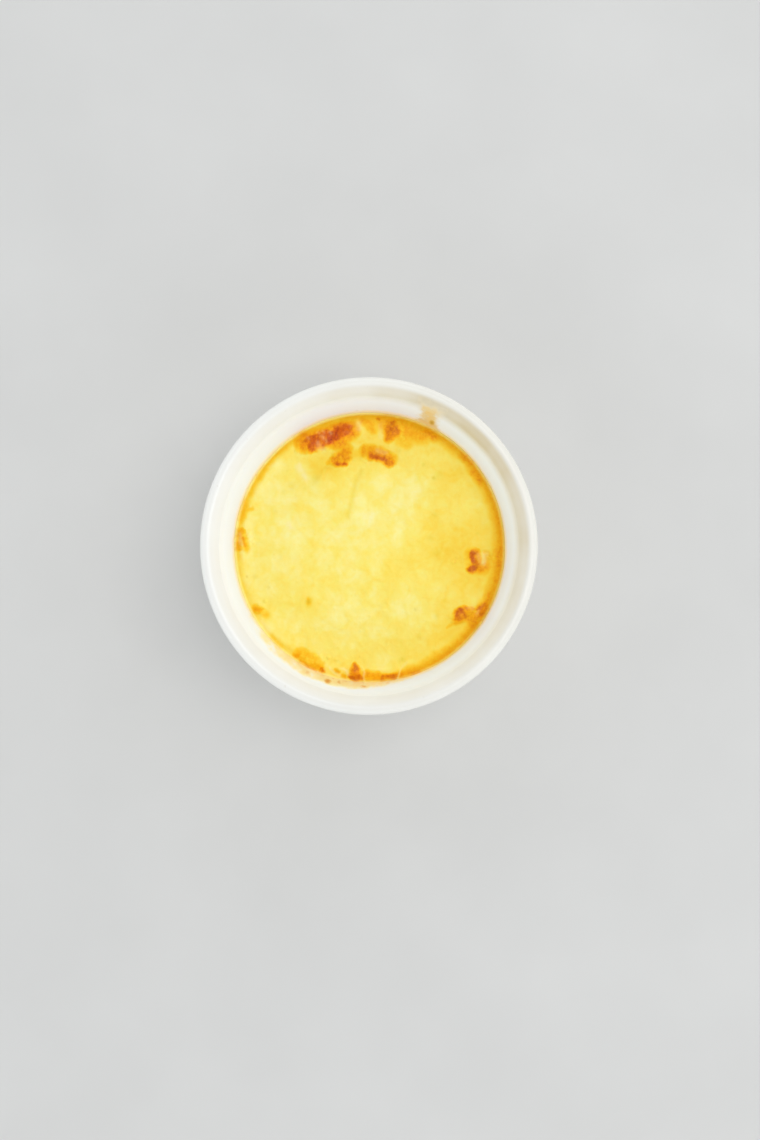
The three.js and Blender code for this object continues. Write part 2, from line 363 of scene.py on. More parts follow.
# Browned places: half width, strength from 0 to 1, softness of the edge in mm, and a path on the skin.
# Strength 0.3 is golden, 0.5 yellow-orange, 0.75 orange-brown and 1 dark red-brown.
BROWNINGS = [
    # The long patch at the upper left
    (3.5, 0.58, 2.2, (-22.4, 36.8), (-18, 37.8), (-12, 39.2), (-7.4, 40.8)),
    (1.6, 0.74, 1.3, (-21.6, 37.2), (-19, 37.4)), (1.1, 0.58, 1.4, (-23.2, 36.8), (-22, 36.4)),
    (1.6, 0.82, 1.2, (-20.4, 37.4), (-20, 35)), (1, 0.7, 1, (-20.3, 35), (-20.4, 33.8)),
    (0.9, 0.8, 1, (-18.8, 38.2), (-17.8, 37.6)), (2.6, 0.8, 1.6, (-18.4, 37.2), (-14, 38.8)),
    (0.6, 0.64, 0.8, (-16.8, 39.4), (-15.4, 40.6)), (0.6, 0.76, 0.8, (-15.8, 36.4), (-14.8, 38)),
    (1.6, 0.84, 1.2, (-13.6, 37.4), (-12.6, 39.2)),
    (2.4, 0.84, 1.4, (-12.8, 38.8), (-10.6, 40.2), (-8.2, 41)), (1.3, 0.88, 1, (-12, 39.4), (-9.6, 41.2)),
    (1.3, 0.72, 1.3, (-9.2, 41.8), (-8.2, 41.2)), (1, 0.56, 1.6, (-13, 42), (-9.6, 43.2)),
    # The spot under the long patch
    (1.9, 0.5, 1.8, (-12, 36.2), (-9.2, 36.6), (-8.4, 34.4)),
    (2.3, 0.58, 1.4, (-11.2, 30.4), (-8.4, 31.8)), (0.9, 0.8, 0.9, (-11, 29), (-8.6, 29)),
    (0.9, 0.46, 1.2, (-14, 29.7), (-12.4, 29.8)), (1.6, 0.36, 1.8, (-9.6, 33.2), (-9.4, 34.8)),
    # The bar at the top centre, with a faint bridge to it
    (1.8, 0.23, 1.8, (-7, 32.6), (-3.8, 32.6), (-1, 33.6)),
    (2.3, 0.48, 1.6, (-1.2, 33.6), (3, 32.9), (7.2, 30.8)),
    (1.6, 0.64, 1.1, (0.4, 32.2), (3, 31.6), (6.4, 30.3)), (0.9, 0.92, 0.9, (0.6, 31.8), (2.8, 31.2)),
    (0.8, 0.76, 0.9, (2.8, 31.2), (5.4, 30.5)), (1.2, 0.6, 1, (6.2, 30), (7.2, 29.2)),
    (0.8, 0.38, 1.2, (-1.6, 34.3), (0.2, 35)),
    # The lump at the top right and the golden edge beside it
    (2.1, 0.74, 1.6, (7.6, 42.4), (8.8, 40.4)), (0.9, 0.52, 1.4, (6.2, 44.2), (9, 44)),
    (1.6, 0.66, 1.3, (6.8, 40.6), (6.8, 38.4)), (3, 0.45, 3.2, (5.6, 43.4), (13, 41.2), (18, 39.4)),
    (2, 0.32, 2.4, (10.6, 37.6), (13.4, 36.6)), (1.4, 0.44, 1.8, (-2.4, 44.4), (0.8, 43.2)),
    (1.2, 0.42, 1.6, (0.4, 41.8), (1.2, 40.6)), (0.5, 0.7, 0.7, (2.8, 45), (3.4, 44.7)),
    # The edge at the upper right
    (1.6, 0.54, 2, (19.8, 40.2), (22.6, 38.6)), (1.2, 0.52, 1.6, (32.4, 32), (35, 29.6)),
    (1.4, 0.5, 2, (36.4, 26.4), (38.8, 22.8)),
    # The bar at the right and what lies round the pale bubble
    (2.2, 0.38, 2.2, (35.4, -2.4), (36, -7), (39.6, -7.6)), (0.7, 0.6, 0.9, (35.7, -1.4), (35.8, -2.2)),
    (1.05, 0.86, 0.8, (35.9, -2.3), (36.2, -5.2)), (1.15, 0.8, 0.9, (36.6, -5), (36.6, -7.2)),
    (1.1, 0.84, 0.9, (35, -7.7), (36, -7.9)), (1.4, 0.6, 1.1, (36.9, -1.8), (37.8, -5.2)),
    (1.2, 0.52, 1.3, (38.4, -7.4), (40.4, -7.2)), (1.4, 0.36, 1.6, (40.8, -2.4), (41.2, -6.6)),
    (1.2, 0.52, 1.8, (44.6, -1.5), (44.8, -6)),
    # The wedge and the lobes at the lower right
    (1.6, 0.76, 1.3, (31.4, -22.6), (31.1, -24.2)), (0.7, 0.8, 0.8, (31.4, -21.4), (31.4, -22.2)),
    (0.5, 0.72, 0.8, (30.8, -22.4), (29.6, -25)), (0.6, 0.82, 0.7, (32.2, -22), (33.2, -24.2)),
    (1.6, 0.46, 1.7, (30.4, -24.6), (30.2, -25.6)), (0.5, 0.34, 0.9, (28.8, -26.9), (27, -28)),
    (2.2, 0.52, 1.6, (33.8, -23.6), (36.6, -24.6)), (0.35, 0.62, 0.6, (34.4, -22.4), (36, -22.8)),
    (0.8, 0.6, 0.9, (33, -21.1), (35.6, -21.6), (38.2, -21.2)),
    (1.6, 0.64, 1.4, (39.8, -21), (38.6, -23.2)), (0.9, 0.6, 1.1, (38, -20.7), (40.6, -19.9)),
    (1.6, 0.53, 1.7, (38.2, -23.6), (35.8, -26.6)), (1, 0.5, 1.8, (40.8, -19), (41.6, -15.5)),
    # The band at the bottom left
    (1.9, 0.37, 1.6, (-24.4, -36.9), (-20.6, -38.2), (-17.8, -41)),
    (0.8, 0.5, 0.9, (-25.6, -37.7), (-24.6, -37.5)), (0.6, 0.56, 1.2, (-24, -39.7), (-18.8, -42.4)),
    (0.7, 0.66, 0.8, (-16.8, -42.4), (-16.1, -43.1)),
    # The knot and the strips at the bottom
    (0.5, 0.4, 0.8, (-11.6, -42.8), (-10.6, -43.2)), (0.5, 0.44, 0.8, (-9.2, -44.8), (-8.4, -45)),
    (0.9, 0.78, 0.8, (-5.2, -41.1), (-5, -42.2)), (1.7, 0.7, 1, (-5, -42.6), (-4.8, -44.8)),
    (0.8, 0.77, 0.7, (-6.4, -45.1), (-5.8, -45.5)), (0.9, 0.66, 0.8, (-3.8, -44.8), (-2.6, -45.6)),
    (1.4, 0.5, 1.4, (-1.2, -44.2), (2.6, -44.8)),
    (0.9, 0.72, 1, (4.6, -45.4), (7.2, -45.2), (9.4, -44.6)),
    (1, 0.52, 1.4, (10.6, -44.6), (17.2, -43.1)),
    # The ring and the edge at the left
    (1.2, 0.42, 1.3, (-45.2, 5.4), (-45.4, 0)), (0.6, 0.58, 0.8, (-44, 3), (-43.2, 0.6)),
    (0.7, 0.44, 1, (-44.6, 6.2), (-44, 5.2)), (1.1, 0.32, 1.4, (-43.6, 3.6), (-42.8, -0.6)),
    (1.2, 0.32, 2, (-43.6, 16.5), (-43.8, 13), (-44.8, 10)),
    (0.7, 0.3, 1.2, (-42.4, 13.2), (-40.8, 13.6)), (1, 0.3, 2, (-38.8, 24.4), (-36.6, 27.6)),
    # The spots at the lower left
    (1.2, 0.5, 1.5, (-39.4, -21.4), (-38.4, -21.7)), (1.1, 0.29, 1.5, (-37.6, -21.6), (-36, -23.6)),
    (1.3, 0.22, 1.9, (-21.2, -18.1), (-21.1, -19.8)), (0.7, 0.34, 1, (-21.3, -18.4), (-21.1, -19.3)),
    (0.8, 0.26, 1.6, (-34, -31.4), (-30.6, -34.6)),
]

# Pale bubbles and creamy bits among the browning, partly painted highlights on the bubbles: half width,
# strength, path
PALES_AND_HIGHLIGHTS = [
    (0.8, 0.45, (-18, 36.4), (-17.2, 35.6)), (0.6, 0.45, (-17, 38.9), (-16.2, 38.2)),
    (0.5, 0.38, (-15.4, 37.6), (-15, 36.8)), (0.5, 0.4, (-16.4, 40.6), (-15.8, 40.2)),
    (0.5, 0.4, (-13.8, 40.2), (-13.3, 39.6)), (0.4, 0.4, (-21.6, 38.4), (-21, 37.8)),
    (0.4, 0.35, (-18.2, 40.2), (-17.6, 39.9)), (0.9, 0.45, (-17.6, 34.6), (-16, 34.4)),
    (0.8, 0.5, (2.6, 33.8), (5.4, 33)), (0.8, 0.25, (3.9, 43), (3.9, 38.4)),
    (1.1, 0.4, (-3.7, 43.4), (-3.8, 41.4)), (1.1, 0.55, (39.9, -2.6), (39.6, -5.4)),
    (0.6, 0.4, (37.8, -2.4), (38.2, -5)), (0.7, 0.35, (34.2, -20.9), (35.8, -21.2)),
    (0.5, 0.35, (37.2, -22.8), (38, -22)), (0.8, 0.5, (-45.2, 4.6), (-44.8, 1.2)),
    (1.1, 0.6, (-24.8, 28.4), (-24, 27)), (1.1, 0.6, (-23, 25.6), (-22, 24)),
    (1, 0.6, (-28.2, 8.4), (-27.4, 7)), (1, 0.4, (-37.6, -25.8), (-34.6, -29)),
    (0.5, 0.6, (-13.6, -42), (-12.4, -43.6), (-10.4, -44.6)),
    (0.5, 0.6, (-9.6, -42.2), (-8, -42.8), (-7.4, -44.4)),
]

# Thin strings of paler custard that lie on the skin and run on over the edge: half width, height, path
STRINGS = [
    (0.36, 0.18, (13.1, -39.9), (10.9, -42.2), (10, -44.8), (9.8, -47)),
    (0.45, 0.18, (-15.6, -42.2), (-14.6, -44.2), (-12.8, -46)),
    (0.45, 0.18, (-2.6, -41.6), (-1.9, -43.6), (-1.8, -46.6)),
]

# Small olive-gold dots where the skin has dried: radius, strength, place
DOTS = [
    (0.7, 0.9, (22.4, 24.3)), (1.6, 0.35, (24, 25.3)), (0.6, 0.5, (18.8, 28.9)), (1.1, 0.5, (22.7, 11.3)),
    (0.9, 0.85, (11.3, -39.1)), (0.5, 0.8, (16, -21.6)), (0.9, 0.4, (23.3, -24.1)),
    (0.9, 0.35, (17.4, -30.7)), (0.45, 0.9, (-42.8, -10.1)), (0.9, 0.35, (-40, -10.3)),
    (0.6, 0.5, (-35.2, -14)), (0.9, 0.5, (10.3, 33.7)), (1.2, 0.35, (21, 3.4)), (1.3, 0.3, (23.6, -2)),
    (0.8, 0.25, (-32.6, 12.4)), (0.9, 0.25, (-30, 19.4)), (0.7, 0.25, (4, -21)), (0.7, 0.35, (37.6, 5)),
    (0.9, 0.7, (-21.2, -18.9)), (1.5, 0.4, (-18.8, 24)), (1.4, 0.3, (-27, 21.4)),
    (0.9, 0.6, (-11.4, -43.2)), (0.9, 0.25, (-22.8, 20.6)),
]

# Broad golden (above 0) and pale (below 0) areas: centre, spread, amount
TONES = [
    (38, 4, 16, 0.24), (34, -16, 14, 0.2), (25, 2, 9, 0.18), (28, 24, 12, 0.14), (4, 38, 12, 0.26),
    (-14, 32, 9, 0.2), (-30, 26, 6, -0.03), (-36, -2, 8, -0.01), (-22, -18, 7, 0.12), (14, -34, 10, 0.12),
    (-18.5, 27, 4, 0.2), (-26, 18, 4, 0.08), (-35, -10, 5, -0.08), (-36, -25, 4, 0.16),
    (-4, -41, 7, 0.22), (29, -28, 6, 0.22), (29, 28, 5, 0.18), (31, 12, 6, -0.15), (3, -8, 8, 0.08),
    (-15, 17, 5, -0.08), (-18, -36, 8, 0.1), (30, -34, 10, 0.26), (4, 14, 10, -0.1), (16, 21, 6, -0.16),
    (-26, 2, 12, -0.04), (0, -4, 8, -0.08), (-4, -30, 10, -0.05), (22, -24, 6, -0.1), (10, -9, 8, 0.1),
    (-7, -6, 6, -0.05), (4, -12, 5, 0.08), (-2, 8, 6, -0.06), (-30, 18, 7, -0.08), (-12, -24, 7, -0.06),
    (14, -22, 6, -0.08),
]

# How strongly the edge is browned, and how far in from the wall that reaches, round the custard
EDGE_STRENGTH = [
    (0, 0.50), (25, 0.46), (45, 0.44), (65, 0.44), (90, 0.40), (108, 0.35), (128, 0.36), (150, 0.31),
    (172, 0.24), (188, 0.21), (205, 0.16), (232, 0.18), (243, 0.30), (250, 0.16), (261, 0.18),
    (265, 0.38), (272, 0.42), (300, 0.48), (330, 0.51),
]
EDGE_WIDTH = [
    (0, 8.0), (45, 7.0), (75, 8.0), (96, 6.5), (112, 5.0), (135, 5.0), (165, 5.5), (185, 4.5), (225, 4.0),
    (260, 5.0), (300, 7.5), (330, 8.0),
]

# How much paler the last of the skin is right at the wall, partly a paler fillet and partly painted light
# that lifts the shade there, and how wide that line is
EDGE_PALING_AND_LIGHT = [
    (0, 0.5), (45, 0.55), (80, 0.75), (110, 0.75), (160, 0.75), (225, 0.7), (270, 0.7), (300, 0.55),
]
EDGE_PALING_AND_LIGHT_WIDTH = 1.2

# How far the edge has dried to an olive gold, round the custard, and how far in that reaches
EDGE_DRYING = [
    (0, 0.10), (40, 0.25), (65, 0.65), (100, 0.9), (125, 0.6), (150, 0.4), (180, 0.3), (225, 0.15),
    (270, 0.15), (320, 0.1),
]
EDGE_DRYING_WIDTH = 4.5

# Browning joins by the root of its sum to this power. Above the knee it grows half as fast.
JOIN_POWER = 5
BROWN_KNEE = 0.78
RUDDY_PLACE, RUDDY_SPREAD = (-14, 40), 11.0
SKIN_SEED = 300

# The tone that the broad areas are added to, and the tone of the custard's side and bottom
USUAL_TONE, SIDE_TONE = 0.44, 0.3

# Relief of the skin: its folds and its grain
FOLD_HEIGHT, GRAIN_HEIGHT = 0.16, 0.03

# Bubbles crowded on the blisters: how many for a cubic millimetre, radii, height to radius, first seed
BUBBLES_PER_MM3, BUBBLE_SIZES, BUBBLE_SHARE, BUBBLE_SEED = 5, (0.45, 1.1), 0.42, 500

# Bubbles thinly spread on all the skin: how many, radii, height to radius, seed
LONE_BUBBLES, LONE_SIZES, LONE_SHARE, LONE_SEED = 420, (0.2, 0.5), 0.22, 77


def to_wall(x, y):
    """How far points of the skin are from the wall."""
    return inner_radius(LEVEL) - np.hypot(x, y)


def blister_height(x, y):
    height = np.zeros_like(x)
    wobble = 1 + 0.22 * perlin(x, y, 1.7, SKIN_SEED)
    for cx, cy, long, wide, turn, high in BLISTERS:
        c, s = math.cos(math.radians(turn)), math.sin(math.radians(turn))
        u = ((x - cx) * c + (y - cy) * s) / long
        v = ((y - cy) * c - (x - cx) * s) / wide
        height = np.maximum(height, high * np.exp(-(u * u + v * v) * wobble))
    return height


def lobe_height(x, y):
    dx, dy = x - LOBE_CENTRE[0], y - LOBE_CENTRE[1]
    away = np.hypot(dx, dy) + 0.5 * perlin(x, y, 5, SKIN_SEED + 1)
    angle = angle_of(dx, dy)
    share = smooth((angle - LOBE_FROM) / LOBE_FADE) * smooth((LOBE_TO - angle) / LOBE_FADE)
    return LOBE_STEP * share * smooth((LOBE_RADIUS - away) / LOBE_EDGE + 0.5) * smooth(away / LOBE_RADIUS)


def crease_depth(x, y):
    away = distance_to_path(x + 0.35 * perlin(x, y, 3, SKIN_SEED + 2), y, CREASE_LINE)
    return CREASE_DEPTH * np.exp(-((away / CREASE_WIDTH) ** 2))


def swell_height(x, y):
    total = np.zeros_like(x)
    for length, turn, high, phase in SWELLS:
        along = x * math.cos(math.radians(turn)) + y * math.sin(math.radians(turn))
        total += high * np.sin(2 * np.pi * along / length + phase)
    return total


def fold_pattern(x, y):
    """The soft winding folds of the skin, 0 in the hollows and 1 on the crests."""
    wx, wy = warped(x, y, 1.6, 6, SKIN_SEED + 3)
    return 0.65 * ridged(wx, wy, 6.5, SKIN_SEED + 5) + 0.35 * ridged(wx, wy, 3.4, SKIN_SEED + 6)


def bubbles(count, centre, spread, seed):
    """Seeded round bubbles: rows of x, y and radius."""
    rng = np.random.default_rng(seed)
    place = rng.normal(0, 0.5, (count, 2)) * spread + centre
    return np.column_stack((place, rng.uniform(*BUBBLE_SIZES, count)))


def bubble_height(x, y):
    """Fine bubbles crowded on the blisters and thinly spread elsewhere."""
    groups = []
    for k, (cx, cy, long, wide, _, high) in enumerate(BLISTERS):
        count = int(BUBBLES_PER_MM3 * long * wide * high)
        groups.append((BUBBLE_SHARE, bubbles(count, (cx, cy), (long, wide), BUBBLE_SEED + k)))
    rng = np.random.default_rng(LONE_SEED)
    turn = rng.uniform(0, 2 * np.pi, LONE_BUBBLES)
    away = inner_radius(LEVEL) * np.sqrt(rng.uniform(0, 0.97, LONE_BUBBLES))
    radii = rng.uniform(*LONE_SIZES, LONE_BUBBLES)
    groups.append((LONE_SHARE, np.column_stack((away * np.cos(turn), away * np.sin(turn), radii))))
    height = np.zeros_like(x)
    for share, group in groups:
        for cx, cy, radius in group:
            near = np.flatnonzero((np.abs(x - cx) < radius) & (np.abs(y - cy) < radius))
            fall = 1 - ((x[near] - cx) ** 2 + (y[near] - cy) ** 2) / radius**2
            height[near] = np.maximum(height[near], share * radius * np.sqrt(np.clip(fall, 0, 1)))
    return height


def skin_height(x, y):
    """Height of the baked skin. Its edge rounds down to the wall, and clings to it with a small fillet."""
    shoulder = SHOULDER_DROP * (1 - smooth(to_wall(x, y) / SHOULDER_WIDTH))
    shoulder = shoulder - MENISCUS_RISE * np.clip(1 - to_wall(x, y) / MENISCUS_WIDTH, 0, 1) ** 2
    folds = FOLD_HEIGHT * (fold_pattern(x, y) - 0.4) + GRAIN_HEIGHT * fractal(x, y, 1.6, SKIN_SEED + 7)
    return (LEVEL - shoulder + swell_height(x, y) + lobe_height(x, y) + blister_height(x, y)
            - crease_depth(x, y) + folds + bubble_height(x, y) + string_height(x, y))


# The colour fields of the skin

def paling_and_painted_light(x, y):
    """The paler line right at the wall: partly the fillet's own paler colour, partly painted light that
    lifts the shade there.
    """
    return around(angle_of(x, y), EDGE_PALING_AND_LIGHT) * (1 - smooth(to_wall(x, y) / EDGE_PALING_AND_LIGHT_WIDTH))


def edge_field(x, y):
    """Browning of the rounded edge, which is less right at the wall."""
    angle = angle_of(x, y)
    ragged = to_wall(x, y) + 0.8 * fractal(x, y, 5, 210)
    within = 1 - smooth(ragged / around(angle, EDGE_WIDTH))
    return around(angle, EDGE_STRENGTH) * within * (1 - paling_and_painted_light(x, y))


def brown_field(x, y):
    """Browning from 0 to 1: the listed places with ragged edges, and the edge all round."""
    wx = x + 0.40 * perlin(x, y, 2.4, 221) + 0.18 * perlin(x, y, 0.9, 222)
    wy = y + 0.40 * perlin(x, y, 2.4, 223) + 0.18 * perlin(x, y, 0.9, 224)
    total = edge_field(x, y) ** JOIN_POWER
    for half_width, strength, soft, *path in BROWNINGS:
        past_edge = distance_to_path(wx, wy, path) - (half_width - 0.8 * soft)
        total += (strength * (1 - smooth(past_edge / (2 * soft)))) ** JOIN_POWER
    field = total ** (1 / JOIN_POWER)
    lively = smooth((field - 0.12) / 0.3)
    field = field * (1 + lively * (0.18 * fractal(x, y, 1.5, 225) + 0.08 * perlin(x, y, 0.7, 226)))
    # Browning is lessened on the bubbles' tops: a painted highlight.
    field -= 0.06 * lively * smooth((bubble_height(x, y) - 0.05) / 0.2)
    return np.where(field > BROWN_KNEE, BROWN_KNEE + 0.5 * (field - BROWN_KNEE), field)


def ruddy_field(x, y):
    """Where the browning is redder, near the upper left."""
    return np.exp(-(((x - RUDDY_PLACE[0]) ** 2 + (y - RUDDY_PLACE[1]) ** 2) / RUDDY_SPREAD**2))


def string_height(x, y):
    return drawn(*warped(x, y, 0.3, 2.2, 236), STRINGS)


def pale_and_painted_light_field(x, y):
    """The pale bubbles and creamy bits, partly painted highlights on the bubbles, and the paler line at the
    wall, partly painted light.
    """
    return np.maximum(drawn(*warped(x, y, 0.45, 1.4, 231), PALES_AND_HIGHLIGHTS), 0.8 * paling_and_painted_light(x, y))


def dot_field(x, y):
    """Where the skin is olive gold: in the dots, along the dried edge, and in the crease, where it is
    painted shade.
    """
    dots = drawn(*warped(x, y, 0.3, 1.2, 241), DOTS)
    ragged = to_wall(x, y) + 0.6 * fractal(x, y, 4, 211)
    drying = around(angle_of(x, y), EDGE_DRYING) * (1 - smooth(ragged / EDGE_DRYING_WIDTH))
    drying = drying * (0.3 + 0.7 * smooth(to_wall(x, y) / EDGE_PALING_AND_LIGHT_WIDTH))
    return np.maximum(dots, np.maximum(drying, 0.28 * crease_depth(x, y) / CREASE_DEPTH))


def tone_field(x, y):
    """0 is palest, about 0.5 the usual yellow and 1 golden."""
    tone = np.full(x.shape, USUAL_TONE)
    for cx, cy, spread, amount in TONES:
        tone += amount * np.exp(-((x - cx) ** 2 + (y - cy) ** 2) / spread**2)
    wx, wy = warped(x, y, 1.5, 5, 252)
    tone += 0.12 * fractal(wx, wy, 8, 254, 3, 0.6) + 0.06 * fractal(wx, wy, 2.6, 255, 2, 0.6)
    tone += 0.12 * (fold_pattern(x, y) - 0.4)
    # The crease is painted more golden: painted shade in the groove.
    return tone + 0.10 * crease_depth(x, y) / CREASE_DEPTH


def disc_grid(cells):
    """Points of a square grid laid over the unit disc with cells of even size."""
    a, b = np.meshgrid(np.linspace(-1, 1, cells + 1), np.linspace(-1, 1, cells + 1), indexing="ij")
    wide = np.abs(a) > np.abs(b)
    with np.errstate(divide="ignore", invalid="ignore"):
        turn = np.where(wide, np.pi / 4 * b / a, np.pi / 2 - np.pi / 4 * a / b)
    reach = np.where(wide, a, b)
    turn = np.where(reach == 0, 0.0, turn)
    return (reach * np.cos(turn)).ravel(), (reach * np.sin(turn)).ravel()


def grid_border(cells):
    """Indices of the grid's outer points, in order, anticlockwise."""
    n = cells + 1
    bottom = [i * n for i in range(cells)]
    right = [cells * n + j for j in range(cells)]
    top = [i * n + cells for i in range(cells, 0, -1)]
    return bottom + right + top + list(range(cells, 0, -1))


def make_custard():
    """The set custard: skin, side and bottom in one closed mesh that reaches just into the glaze."""
    ux, uy = disc_grid(SKIN_CELLS)
    full = inner_radius(LEVEL)
    edge_height = skin_height(full * ux, full * uy)
    share = np.hypot(ux, uy)
    radius = share * (full + INTO_WALL) + share**9 * (inner_radius(edge_height) - full)
    scale = radius / np.maximum(share, 1e-9)
    x, y = ux * scale, uy * scale
    z = skin_height(x, y)
    points = [np.column_stack((x, y, z))]

    border = grid_border(SKIN_CELLS)
    turns = np.arctan2(y[border], x[border])
    lowest = arc(CORNER_CENTRE, FLOOR_CORNER + INTO_WALL, -INNER_DRAFT, -90, SIDE_RINGS)
    rings = []
    for k in range(1, SIDE_RINGS + 1):
        height = z[border] + (lowest[0][1] - z[border]) * (k / SIDE_RINGS) ** SIDE_SPACING
        rings.append((inner_radius(height) + INTO_WALL, height))
    rings += [*lowest[1:], (BOTTOM_RING, FLOOR - INTO_WALL)]
    for ring_radius, height in rings:
        ring = np.broadcast_arrays(ring_radius * np.cos(turns), ring_radius * np.sin(turns), height)
        points.append(np.column_stack(ring))
    points.append(np.array([[0, 0, FLOOR - INTO_WALL]]))
    points = np.concatenate(points)

    n = SKIN_CELLS + 1
    faces = [(i * n + j, (i + 1) * n + j, (i + 1) * n + j + 1, i * n + j + 1)
             for i in range(SKIN_CELLS) for j in range(SKIN_CELLS)]
    loops = [border] + [list(range(len(x) + k * len(border), len(x) + (k + 1) * len(border)))
                        for k in range(len(rings))]
    for upper, lower in zip(loops, loops[1:]):
        faces += [(upper[i], lower[i], lower[(i + 1) % len(lower)], upper[(i + 1) % len(upper)])
                  for i in range(len(upper))]
    last = len(points) - 1
    faces += [(loops[-1][i], last, loops[-1][(i + 1) % len(border)]) for i in range(len(border))]

    custard = make_object("custard_baked", points, faces, SKIN_CELLS**2)
    px, py = points[:, 0], points[:, 1]
    on_skin = np.zeros(len(points))
    on_skin[:len(x)] = 1
    on_skin[len(x):len(x) + len(border)] = 0.5
    set_fields(custard, {
        "tone": tone_field(px, py) * on_skin + SIDE_TONE * (1 - on_skin),
        "brown": brown_field(px, py) * on_skin,
        "ruddy": ruddy_field(px, py),
        "pale": pale_and_painted_light_field(px, py) * on_skin,
        "dot": dot_field(px, py) * on_skin,
        "string": smooth(string_height(px, py) / 0.2) * on_skin,
    })
    return custard


# What the custard left on the wall above it

# How far it is up the wall to the flare, and along the flare
WALL_RUN = (INNER_TOP[1] - LEVEL) / math.cos(DRAFT)
FLARE_RUN = FLARE_ROUND * math.radians(180 - INNER_DRAFT - FLARE_JOIN)

# Where the border and the back of the dried skins lie, and how fast they thin out past their reach
BORDER_DEPTH, BACK_DEPTH = -0.04, -0.07
THINNING = 0.03

# Thickness that a browned speck and a string add
SPECK_HEIGHT, WALL_STRING_HEIGHT = 0.12, 0.10


def wall_place(angle, up, out):
    """Points by the inner wall: angle in degrees, distance up from the level, and off the glaze."""
    straight = np.minimum(up, WALL_RUN)
    on_flare = np.clip(up - WALL_RUN, 0, FLARE_RUN)
    on_lip = np.maximum(up - WALL_RUN - FLARE_RUN, 0)
    turn = math.radians(180 - INNER_DRAFT) - on_flare / FLARE_ROUND - on_lip / LIP_ROUND

    def along_section(axis, wave, wall):
        on_round = [LIP_CENTRE[axis] + LIP_ROUND * wave, FLARE_CENTRE[axis] + FLARE_ROUND * wave]
        return np.select([on_lip > 0, up > WALL_RUN], on_round, wall) + out * wave

    radius = along_section(0, np.cos(turn), inner_radius(LEVEL) + straight * math.sin(DRAFT))
    height = along_section(1, np.sin(turn), LEVEL + straight * math.cos(DRAFT))
    a = np.radians(angle)
    return np.column_stack((radius * np.cos(a), radius * np.sin(a), height))


def make_wall_film(name, angles, ups, film):
    """A thin closed skin on the inner wall. It ends in the glaze, where its thickness is below 0."""
    grid = np.meshgrid(np.linspace(*angles), np.linspace(*ups), indexing="ij")
    angle, up = (g.ravel() for g in grid)
    thickness, fields = film(angle, up)
    front = wall_place(angle, up, np.maximum(thickness, BORDER_DEPTH))
    points = np.concatenate((front, wall_place(angle, up, BACK_DEPTH)))
    rows, behind = ups[2], len(angle)
    kept = (thickness > BORDER_DEPTH).reshape(-1, rows)
    whole = kept[:-1, :-1] & kept[1:, :-1] & kept[:-1, 1:] & kept[1:, 1:]
    cells = {(int(i), int(j)) for i, j in np.argwhere(whole)}
    faces = []
    for i, j in sorted(cells):
        a, b, c, d = i * rows + j, (i + 1) * rows + j, (i + 1) * rows + j + 1, i * rows + j + 1
        faces += [(a, d, c, b), (a + behind, b + behind, c + behind, d + behind)]
        neighbours = (i, j - 1), (i + 1, j), (i, j + 1), (i - 1, j)
        for beside, p, q in zip(neighbours, (a, b, c, d), (b, c, d, a)):
            if beside not in cells:
                faces.append((p, q, q + behind, p + behind))
    used = np.unique(np.array([v for face in faces for v in face]))
    number = {int(v): k for k, v in enumerate(used)}
    piece = make_object(name, points[used], [tuple(number[v] for v in face) for face in faces])
    both = {field: np.concatenate((values, values))[used] for field, values in fields.items()}
    set_fields(piece, {**both, **glaze_marks(*points[used].T)})
    return piece


# The dried film at the front: how far up the wall it reaches, in mm, and how rich it is, by angle
FILM_REACH = [
    (198, 0), (206, 7), (218, 13), (232, 16), (250, 16), (260, 14.5), (270, 12), (279, 9), (289, 6),
    (299, 3.5), (311, 0),
]
FILM_RICHNESS = [
    (198, 0.3), (215, 0.35), (226, 0.5), (236, 0.6), (246, 0.85), (256, 1.05), (266, 0.9), (276, 0.7),
    (288, 0.6), (311, 0.4),
]

# How ragged its top is, by angle
FILM_RAGGED = [(200, 0), (210, 1), (300, 1), (308, 0)]

# Its thickness: plain, what the richest adds, what a lace thread adds, and how far all of it is sunk
FILM_BODY, FILM_RICHER, THREAD_HEIGHT, FILM_SUNK = 0.05, 0.10, 0.24, 0.016

# The grid that it is cut from: first and last angle and their number, and the same up the wall
FILM_ANGLES, FILM_UPS = (197, 312, 380), (-1.4, 17.4, 74)

# Browned specks in the film: angle, up, half width, half height, strength
FILM_SPECKS = [
    (228.3, 8.3, 0.9, 4, 0.3), (243.8, 6, 1.2, 4, 0.5), (252.8, 7.3, 1.2, 3.8, 1),
    (257.3, 4.6, 1, 3.4, 0.6), (262.2, 5.4, 0.9, 3, 0.35), (267.6, 5.6, 1.5, 3.4, 0.6),
    (273, 4.6, 1.1, 2.4, 0.35), (277.6, 2.2, 1.2, 2.8, 0.45), (249, 2.6, 0.8, 2.4, 0.4),
    (236.2, 4.6, 0.7, 2.6, 0.25), (245.4, 10.6, 0.6, 2.6, 0.22), (234, 10, 0.6, 3, 0.2),
    (254.6, 1.6, 0.8, 2, 0.5), (260, 1.4, 0.9, 2, 0.5), (239.6, 2.4, 0.7, 2, 0.25),
    (212, 9, 0.9, 3.6, 0.16),
]

# Where the film is a lace of strings over browned hollows: angles and height that it fades over
LACE_FROM, LACE_TO, LACE_FADE, LACE_TOP = 243.0, 268.0, 5.0, 9.0

# How much of it is speckled with small browned bits, by angle
CRUMBLY_SHARE = [(224, 0), (236, 0.35), (248, 0.9), (262, 1.0), (272, 0.7), (280, 0)]

